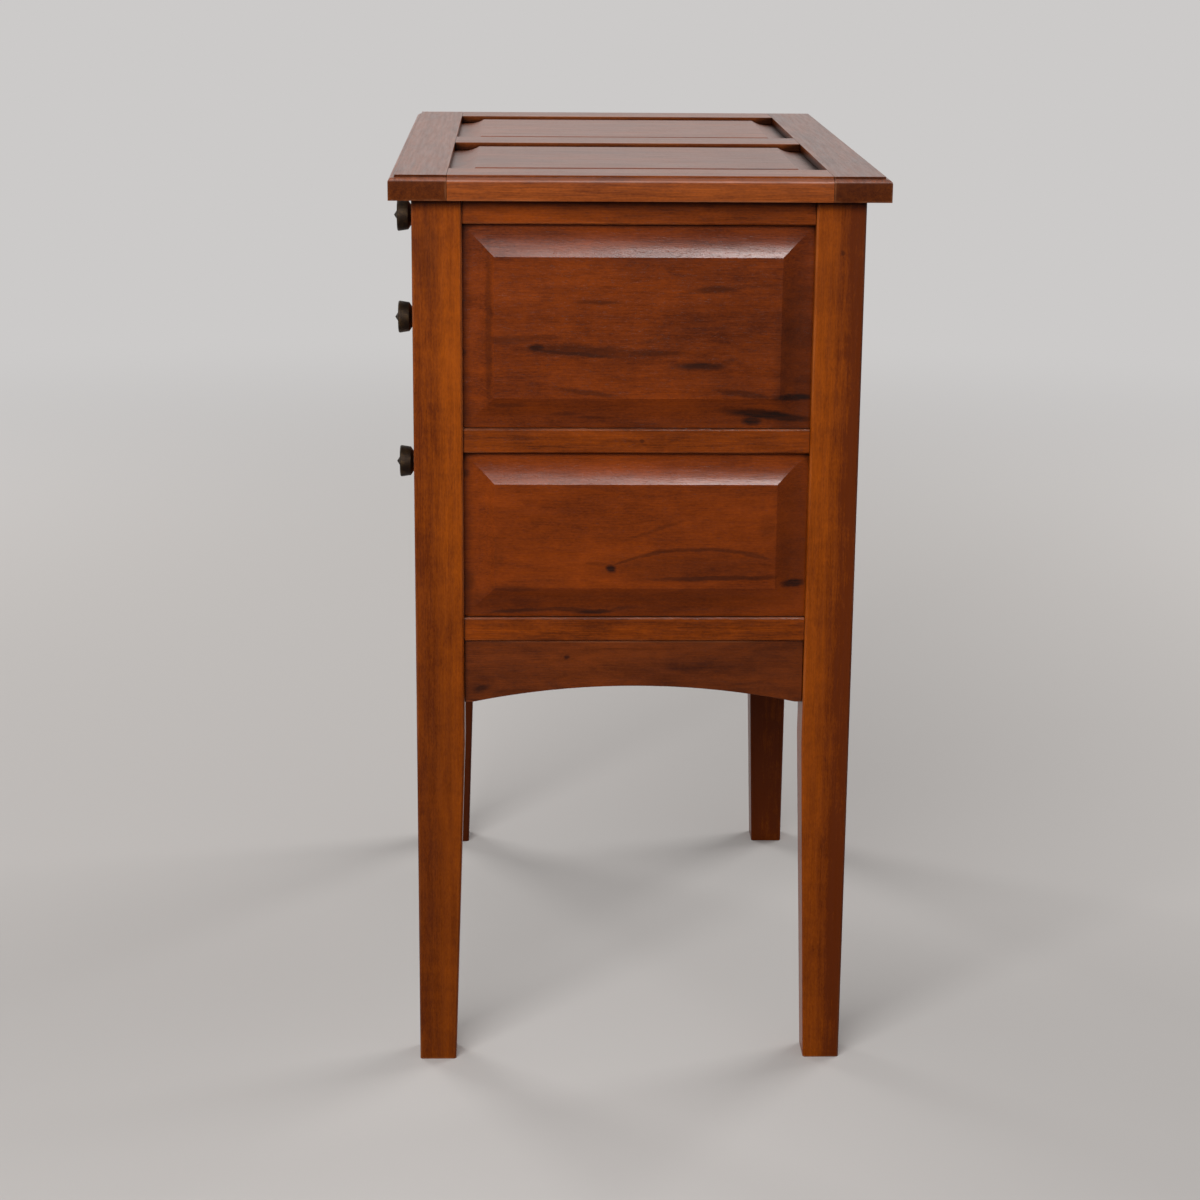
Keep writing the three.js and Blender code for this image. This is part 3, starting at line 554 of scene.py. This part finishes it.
def wood_material(name, grain, finish):
    """The finish of one board, cut from its own place in its own tree."""
    material = bpy.data.materials.new("wood_" + name)
    tree = cleared_tree(material)
    low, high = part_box(name)
    middle = (low + high) / 2
    draw = random.Random(name)
    angle = draw.uniform(0, 2 * math.pi)
    distance = draw.uniform(*PITH_DISTANCES)
    tone = TONES.get(name, draw.uniform(-TONE_SPREAD, TONE_SPREAD))
    along = draw.uniform(-TREE_REACH, TREE_REACH)

    # The board's wood, with its end grain, rubbed arrises and marks
    coordinates = tree.node("ShaderNodeTexCoord").outputs
    place = coordinates["Object"]
    turned = tree.node("ShaderNodeMapping", {
        "Vector": tree.vector("SUBTRACT", place, middle),
        "Rotation": GRAIN_TURNS[grain],
        "Location": (along, distance * math.cos(angle), distance * math.sin(angle)),
    }).outputs[0]
    if name in HEARTWOOD:
        tone = tree.math("ADD", heartwood(tree, place, name), tone)
    facing = tree.math("ABSOLUTE", tree.split(coordinates["Normal"])[grain])
    end = tree.spread(facing, *END_FACING)
    arris = tree.node("ShaderNodeGroup", {
        "Place": place,
        "Middle": middle,
        "Half": (high - low) / 2,
    }, node_tree=ARRIS_GROUP)
    light, dark, streak, *strengths = FINISHES[finish]
    wood = tree.node("ShaderNodeGroup", {
        "Place": turned,
        "Light": srgb(*light),
        "Dark": srgb(*dark),
        "Streak": srgb(*streak),
        "End": end,
        "Arris": arris.outputs[0],
        "Marks": marked(tree, place, name) if name in DARK_MARKS_AND_SHADE else 0.0,
        "Tone": tone,
    } | dict(zip(FIGURES, strengths)), node_tree=WOOD_GROUP).outputs

    # Painted shade in the corners, dust on the ledges, and the coat over it
    outward = tree.node("ShaderNodeNewGeometry").outputs["Normal"]
    shade_and_dust = painted_shade_and_dust(tree, outward, name, finish)
    bump = tree.node("ShaderNodeBump", WOOD_BUMP | {"Height": wood["Height"]}).outputs[0]
    coat_roughness, coat_ior, ior = COATS.get(finish, COAT)[2:]
    shader = tree.node("ShaderNodeBsdfPrincipled", {
        # The base colour darkens towards the colour of the painted shade and the dust
        "Base Color": tree.mix(shade_and_dust, wood["Color"], srgb(*SHADE_AND_DUST_COLOR)),
        "Roughness": wood["Roughness"],
        "Normal": bump,
        "IOR": ior,
        "Coat Normal": bump,
        "Coat Weight": coated(tree, turned, outward, end, shade_and_dust, finish),
        "Coat Roughness": coat_roughness,
        "Coat IOR": coat_ior,
    })
    tree.node("ShaderNodeOutputMaterial", {0: shader.outputs[0]})
    return material


# Softening of the boards: which angles are flat, shaded smooth or eased, and how round the eased edges are
WELD_DISTANCE = 0.01 * MM
FLAT_ANGLE = math.radians(0.6)
SMOOTH_ANGLE = math.radians(24)
ARRIS_ANGLE = math.radians(30)
ARRIS_RADIUS = 0.5 * MM
ARRIS_RADII = {"leg": 1.2 * MM, "top": 0.3 * MM, "rail": 0.12 * MM}
ARRIS_SEGMENTS = 3

# Raised panels keep their shallow lines: their own angles, and how slanted an edge is that counts as a mitre
PANEL_SMOOTH_ANGLE = math.radians(6)
PANEL_ARRIS_ANGLE = math.radians(60)
MITRE_SHARE = 0.8


def make_softening_group():
    """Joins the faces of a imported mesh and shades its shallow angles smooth, but not across a mitre."""
    group, given, made = new_group(
        "Soften", {"Geometry": "Geometry", "Angle": "Float"}, {"Geometry": "Geometry"}, "GeometryNodeTree")
    tree = Tree(group)
    welded = tree.node("GeometryNodeMergeByDistance", {0: given[0], "Distance": WELD_DISTANCE}).outputs[0]
    smooth = tree.node("GeometryNodeSetShadeSmooth", {0: welded, "Shade Smooth": True}, domain="FACE")
    angle = tree.node("GeometryNodeInputMeshEdgeAngle").outputs["Unsigned Angle"]

    # A mitre is an edge that runs about as far along one axis as along another
    ends = tree.node("GeometryNodeInputMeshEdgeVertices").outputs
    span = tree.vector("ABSOLUTE", tree.vector("SUBTRACT", ends["Position 1"], ends["Position 2"]))
    x, y, z = tree.split(span)
    longest = tree.math("MAXIMUM", x, tree.math("MAXIMUM", y, z))
    shortest = tree.math("MINIMUM", x, tree.math("MINIMUM", y, z))
    total = tree.math("ADD", x, tree.math("ADD", y, z))
    between = tree.math("SUBTRACT", total, tree.math("ADD", longest, shortest))
    straight = tree.math("LESS_THAN", between, tree.math("MULTIPLY", longest, MITRE_SHARE))

    shallow = tree.math("MULTIPLY", straight, tree.math("LESS_THAN", angle, given["Angle"]))
    inputs = {0: smooth.outputs[0], "Shade Smooth": shallow}
    edges = tree.node("GeometryNodeSetShadeSmooth", inputs, domain="EDGE")
    tree.link(edges.outputs[0], made[0])
    return group


SOFTENING_GROUP = make_softening_group()


def soften(piece, radius, smooth_angle, ease_angle):
    """Eases the edges of a board, as sanding and years of polish do."""
    weld = piece.modifiers.new("soften", "NODES")
    weld.node_group = SOFTENING_GROUP
    weld[SOFTENING_GROUP.interface.items_tree["Angle"].identifier] = smooth_angle
    flat = piece.modifiers.new("flat", "DECIMATE")
    flat.decimate_type = "DISSOLVE"
    flat.angle_limit = FLAT_ANGLE
    ease = piece.modifiers.new("ease", "BEVEL")
    ease.width = radius
    ease.segments = ARRIS_SEGMENTS
    ease.limit_method = "ANGLE"
    ease.angle_limit = ease_angle
    ease.harden_normals = True


def board_of(name):
    """The grain and finish of a node, by the longest start of its name."""
    start = max((s for s in BOARDS if name.startswith(s)), key=len)
    return BOARDS[start]


def dress_boards():
    """Gives every board its own wood, and eases its edges."""
    for name, piece in frame["nodes"].items():
        if "_knob" in name:
            continue
        grain, finish = board_of(name)
        piece.data.materials[0] = wood_material(name, grain, finish)
        angles = (PANEL_SMOOTH_ANGLE, PANEL_ARRIS_ANGLE) if "_panel_" in name else (SMOOTH_ANGLE, ARRIS_ANGLE)
        soften(piece, ARRIS_RADII.get(finish, ARRIS_RADIUS), *angles)


# Metals: colour, colour where it is rubbed, and roughness
AGED_BRASS = ((38, 27, 18), (66, 50, 31), 0.45)
SCREW_STEEL = ((120, 116, 110), (160, 156, 150), 0.35)

# Patina: size, detail and roughness of the noises of its patches and specks
PATCH_NOISE = ([6 * MM] * 3, 4.0, 0.65)
SPECK_NOISE = ([0.8 * MM] * 3, 2.0, 0.5)

# The patches' limits for colour and for roughness, and how much duller and shinier than plain they are
RUBBED_PATCHES = (0.4, 0.7)
ROUGH_PATCHES = (0.3, 0.7)
DULLER = 0.1
SHINIER = 0.08

# The specks' height beside that of the patches, the bump of both, and how far the patina leaves metal bare
SPECK_HEIGHT = 0.3
METAL_BUMP = {"Strength": 0.3, "Distance": 0.1 * MM}
METALLIC = 0.8


def metal_material(name, color, rubbed, rough):
    """Metal with an uneven patina."""
    material = bpy.data.materials.new(name)
    tree = cleared_tree(material)
    place = tree.node("ShaderNodeTexCoord").outputs["Object"]
    patches = tree.noise(place, *PATCH_NOISE)[0]
    specks = tree.noise(place, *SPECK_NOISE)[0]
    height = tree.math("MULTIPLY_ADD", specks, SPECK_HEIGHT, patches)
    shader = tree.node("ShaderNodeBsdfPrincipled", {
        "Base Color": tree.mix(tree.spread(patches, *RUBBED_PATCHES), srgb(*color), srgb(*rubbed)),
        "Roughness": tree.spread(patches, *ROUGH_PATCHES, rough + DULLER, rough - SHINIER),
        "Normal": tree.node("ShaderNodeBump", METAL_BUMP | {"Height": height}).outputs[0],
        "Metallic": METALLIC,
    })
    tree.node("ShaderNodeOutputMaterial", {0: shader.outputs[0]})
    return material


# Turned knobs: radii, and distances out from the drawer front
KNOB_HOLE_RADIUS = 2.3 * MM
KNOB_HOLE_DEPTH = 10.2 * MM
KNOB_BASE_RADIUS = 8.5 * MM
KNOB_BASE_THICKNESS = 1.6 * MM
KNOB_NECK_RADIUS = 5.2 * MM
KNOB_CONE_RADIUS = 7 * MM
KNOB_CONE_LENGTH = 4.2 * MM
KNOB_REAR_RADIUS = 13.2 * MM
KNOB_RIM_LENGTH = 9.8 * MM
KNOB_ARRIS = 1.6 * MM
KNOB_POINT_LENGTH = 3 * MM
KNOB_POINT_RADIUS = 4.8 * MM
KNOB_CURVE_STEPS = 8
KNOB_TURN_STEPS = 96
KNOB_SMOOTH_ANGLE = math.radians(30)


def curve(start, corner, end):
    """Points of a quadratic curve from start to end that bends towards corner, without its first point."""
    points = []
    for step in range(1, KNOB_CURVE_STEPS + 1):
        t = step / KNOB_CURVE_STEPS
        near, far = (1 - t) ** 2, t ** 2
        points.append(tuple(near * a + 2 * t * (1 - t) * b + far * c for a, b, c in zip(start, corner, end)))
    return points


def knob_profile(seat, radius, length):
    """The knob's outline as radius and distance out, from the bottom of its screw hole to its point."""
    rim_front = length - KNOB_POINT_LENGTH
    rim_rear = rim_front - KNOB_RIM_LENGTH
    cone_rear = rim_rear - KNOB_CONE_LENGTH
    base = (KNOB_BASE_RADIUS, KNOB_BASE_THICKNESS)
    neck = (KNOB_NECK_RADIUS, (KNOB_BASE_THICKNESS + cone_rear) / 2)
    rim = (radius, rim_front - KNOB_ARRIS)
    shoulder = (radius - KNOB_ARRIS, rim_front)
    point = (KNOB_POINT_RADIUS, rim_front)
    return [
        (0.0, KNOB_HOLE_DEPTH), (KNOB_HOLE_RADIUS, KNOB_HOLE_DEPTH), (KNOB_HOLE_RADIUS, seat),
        (KNOB_BASE_RADIUS, seat), base,
        *curve(base, (KNOB_NECK_RADIUS, KNOB_BASE_THICKNESS), neck),
        *curve(neck, (KNOB_NECK_RADIUS, cone_rear), (KNOB_CONE_RADIUS, cone_rear)),
        (KNOB_REAR_RADIUS, rim_rear), rim,
        *curve(rim, (radius, rim_front), shoulder), point,
        *curve(point, (KNOB_POINT_RADIUS / 2, rim_front + KNOB_POINT_LENGTH / 2), (0.0, length)),
    ]


def turned_knob(node, body, metal):
    """A finely turned knob in the place of its coarser solid, pointing along -Y."""
    low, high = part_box(node)
    drawer_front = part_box(node.replace("_knob", "_front"))[0].y
    middle = (low + high) / 2
    profile = knob_profile(drawer_front - high.y, (high.x - low.x) / 2, drawer_front - low.y)
    shape = bmesh.new()
    outline = [shape.verts.new((middle.x + r, drawer_front - out, middle.z)) for r, out in profile]
    edges = [shape.edges.new(ends) for ends in zip(outline, outline[1:])]
    bmesh.ops.spin(
        shape, geom=outline + edges, cent=(middle.x, 0, middle.z), axis=(0, -1, 0), angle=2 * math.pi,
        steps=KNOB_TURN_STEPS,
    )
    bmesh.ops.remove_doubles(shape, verts=shape.verts, dist=WELD_DISTANCE)
    bmesh.ops.recalc_face_normals(shape, faces=shape.faces)
    for face in shape.faces:
        face.smooth = True
    for edge in shape.edges:
        edge.smooth = edge.calc_face_angle() < KNOB_SMOOTH_ANGLE
    mesh = bpy.data.meshes.new(node + "_turned")
    shape.to_mesh(mesh)
    shape.free()
    mesh.materials.append(metal)
    knob = add(node + "_turned", mesh)
    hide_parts(node)
    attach(knob, body)


def dress_metal():
    """Turns the three knobs, and gives their screws steel."""
    brass = metal_material("aged_brass", *AGED_BRASS)
    steel = metal_material("screw_steel", *SCREW_STEEL)
    for name, piece in frame["nodes"].items():
        if name.endswith("_knob"):
            turned_knob(name, name.removesuffix("_knob"), brass)
        elif name.endswith("_knob_screw"):
            piece.data.materials[0] = steel


# Floor: pale where it is seen and darker where it only gives light, and plain from some way off, so that no
# horizon shows
FLOOR_SIZE = 80.0
FLOOR_COLOR = (196, 192, 189)
FLOOR_BOUNCE_COLOR = (84, 64, 50)
FLOOR_ROUGHNESS = 0.9
FLOOR_IOR = 1.1
FLOOR_FAR_COLOR = (204, 202, 201)
FLOOR_FAR_START = 1.3
FLOOR_FAR_END = 3.5

# Surroundings: their colour where they are seen, and how much white light they give
SURROUND_COLOR = (206, 204, 203)
SURROUND_LIGHT = 0.28

# Lamps: azimuth from +X towards +Y, elevation, distance, width, height, power, and what each is seen in: the
# plain colour of everything, the polish of the sides or the polish of the level top. Strong lamps would burn
# the top in low views from the other side, so it has a dimmer one of its own.
LAMPS = {
    "key": (-22.0, 24.0, 2.8, 1.7, 1.0, 58.0, ("color", "sides")),
    "back_fill": (125.0, 25.0, 3.4, 2.0, 1.4, 57.0, ("color", "sides")),
    "left_fill": (222.0, 25.0, 3.4, 1.4, 1.4, 40.0, ("color", "sides")),
    "window": (10.0, 45.0, 3.2, 0.38, 1.7, 200.0, ("sides",)),
    "sheen": (4.0, 36.0, 3.3, 2.4, 2.2, 74.0, ("sides",)),
    "top_sheen": (4.0, 42.0, 3.3, 2.4, 2.2, 46.0, ("top",)),
}
LAMP_AIM = Vector((0.0, 0.0, 0.42))


def seen_directly(tree):
    """1 where the camera, a reflection or glass shows a surface, and 0 where it only gives light."""
    path = tree.node("ShaderNodeLightPath").outputs
    mirrored = tree.math("MAXIMUM", path["Is Glossy Ray"], path["Is Transmission Ray"])
    return tree.math("MAXIMUM", path["Is Camera Ray"], mirrored)


def make_floor():
    """A wide pale floor that keeps the chest's shadow."""
    mesh = bpy.data.meshes.new("floor")
    half = FLOOR_SIZE / 2
    corners = [(-half, -half, 0), (half, -half, 0), (half, half, 0), (-half, half, 0)]
    mesh.from_pydata(corners, [], [(0, 1, 2, 3)])
    floor = add("floor", mesh)
    material = bpy.data.materials.new("floor")
    tree = cleared_tree(material)
    seen = seen_directly(tree)
    near = tree.node("ShaderNodeBsdfPrincipled", {
        "Base Color": tree.mix(seen, srgb(*FLOOR_BOUNCE_COLOR), srgb(*FLOOR_COLOR)),
        "Roughness": FLOOR_ROUGHNESS,
        "IOR": FLOOR_IOR,
    })
    far = tree.node("ShaderNodeEmission", {"Color": srgb(*FLOOR_FAR_COLOR), "Strength": 1.0})
    away = tree.vector("LENGTH", tree.node("ShaderNodeTexCoord").outputs["Object"])
    fade = tree.math("MULTIPLY", tree.spread(away, FLOOR_FAR_START, FLOOR_FAR_END), seen)
    both = tree.node("ShaderNodeMixShader", {0: fade, 1: near.outputs[0], 2: far.outputs[0]})
    tree.node("ShaderNodeOutputMaterial", {0: both.outputs[0]})
    mesh.materials.append(material)


def make_surround():
    """Pale surroundings on all sides."""
    world = bpy.data.worlds.new("surround")
    bpy.context.scene.world = world
    tree = cleared_tree(world)
    light = tree.node("ShaderNodeBackground", {"Color": (1.0, 1.0, 1.0, 1.0), "Strength": SURROUND_LIGHT})
    shown = tree.node("ShaderNodeBackground", {"Color": srgb(*SURROUND_COLOR), "Strength": 1.0})
    seen = seen_directly(tree)
    both = tree.node("ShaderNodeMixShader", {0: seen, 1: light.outputs[0], 2: shown.outputs[0]})
    tree.node("ShaderNodeOutputWorld", {0: both.outputs[0]})


def polished_pieces():
    """The pieces whose polish shows the lamps for the sides, and those that show the lamp for the top."""
    groups = {use: bpy.data.collections.new(use + "_polish") for use in ("sides", "top")}
    for piece in bpy.context.scene.objects:
        if piece.type == "MESH" and piece.name != "floor":
            groups["top" if piece.name.startswith("top_") else "sides"].objects.link(piece)
    return groups


def make_lamps():
    """Soft lamps, one for each use, so that each lights only what it is meant for."""
    polished = polished_pieces()
    for name, (azimuth, elevation, distance, width, height, power, uses) in LAMPS.items():
        across, rise = math.radians(azimuth), math.radians(elevation)
        away = Vector((math.cos(across) * math.cos(rise), math.sin(across) * math.cos(rise), math.sin(rise)))
        for use in uses:
            data = bpy.data.lights.new(f"{name}_{use}", "AREA")
            data.shape = "RECTANGLE"
            data.size, data.size_y, data.energy = width, height, power
            lamp = add(f"{name}_{use}", data)
            lamp.location = LAMP_AIM + away * distance
            lamp.rotation_euler = away.to_track_quat("Z", "Y").to_euler()
            lamp.visible_camera = False
            lamp.visible_diffuse = use == "color"
            lamp.visible_glossy = use != "color"
            if use in polished:
                lamp.light_linking.receiver_collection = polished[use]


# Camera, worked out from the photograph's straight edges, in the part's frame
CAMERA_PLACE = Vector((2.36717, -0.0867, 0.98243))
CAMERA_YAW = math.radians(-1.721)
CAMERA_PITCH = math.radians(15.291)
CAMERA_ROLL = math.radians(0.46)
CAMERA_LENS = 78.45
SENSOR_WIDTH = 36.0


def make_camera():
    """The photograph's view of the chest."""
    data = bpy.data.cameras.new("camera")
    data.sensor_width = SENSOR_WIDTH
    data.lens = CAMERA_LENS
    camera = add("camera", data)
    yaw, pitch = CAMERA_YAW, CAMERA_PITCH
    ahead = Vector((-math.cos(yaw) * math.cos(pitch), -math.sin(yaw) * math.cos(pitch), -math.sin(pitch)))
    right = Vector((-math.sin(yaw), math.cos(yaw), 0.0))
    up = right.cross(ahead)
    across = math.cos(CAMERA_ROLL) * right + math.sin(CAMERA_ROLL) * up
    upward = math.cos(CAMERA_ROLL) * up - math.sin(CAMERA_ROLL) * right
    turn = Matrix((across, upward, -ahead)).transposed().to_4x4()
    camera.matrix_world = Matrix.Translation(CAMERA_PLACE) @ turn
    bpy.context.scene.camera = camera


make_camera()
make_floor()
make_surround()
dress_boards()
dress_metal()
make_lamps()
bpy.context.scene.view_settings.view_transform = "Standard"
